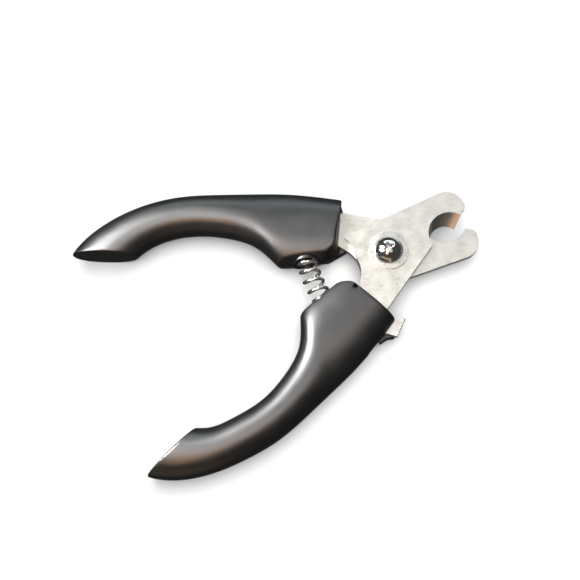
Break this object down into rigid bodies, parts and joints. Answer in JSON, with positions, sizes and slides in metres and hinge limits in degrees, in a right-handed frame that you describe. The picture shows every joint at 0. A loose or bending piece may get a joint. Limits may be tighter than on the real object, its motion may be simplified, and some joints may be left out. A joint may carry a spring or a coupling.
{
  "type": "scissor nail clipper",
  "caption": "Plier-type pet nail clipper: two crossed steel blades with round jaw notches, curved black grips, a return spring and a thumb lock.",
  "frame": {"origin": "on the pivot axis, in the plane the clipper lies on, which is the flat end of the pivot nut", "axes": "+Z out of the screw head along the pivot axis, +X from the handles to the jaws along the line that mirrors them, +Y towards the moving handle"},
  "size_m": [0.1456, 0.1048, 0.015],
  "materials": {
    "blade_steel": "satin, lightly brushed",
    "polished_chrome": "polished",
    "bright_steel": "bright zinc plate",
    "spring_steel": "drawn wire and strip",
    "nylon": "natural nylon",
    "core_plastic": "glass-filled nylon",
    "grip_black": "satin soft-touch",
    "cup_black": "satin moulded"
  },
  "bodies": {
    "fixed_side": {"front_blade": "blade_steel", "pivot_screw": "polished_chrome", "serrated_washer": "bright_steel", "disc_spring": "spring_steel", "rear_washer": "bright_steel", "pivot_nut": "bright_steel", "nut_insert": "nylon", "lower_core": "core_plastic", "lower_grip": "grip_black", "lower_tang_pins": "bright_steel", "lower_spring_cup": "cup_black", "return_spring": "spring_steel", "lock_pin": "bright_steel", "detent_leaf": "spring_steel"},
    "moving_side": {"rear_blade": "blade_steel", "upper_core": "core_plastic", "upper_grip": "grip_black", "upper_tang_pins": "bright_steel", "upper_spring_cup": "cup_black"},
    "lock": {"lock_lever": "bright_steel"}
  },
  "joints": [
    {"name": "handle_pivot", "type": "hinge", "parent": "fixed_side", "child": "moving_side", "pos_m": [0, 0, 0.0075], "axis": [0, 0, 1], "range_deg": [0, 19], "stiffness_Nm_per_rad": 1.6, "springref_deg": -14.32, "deforming": ["return_spring"]},
    {"name": "lock_pivot", "type": "hinge", "parent": "fixed_side", "child": "lock", "pos_m": [-0.0151, -0.0208, 0.0063], "axis": [0, 0, -1], "range_deg": [0, 28]}
  ]
}
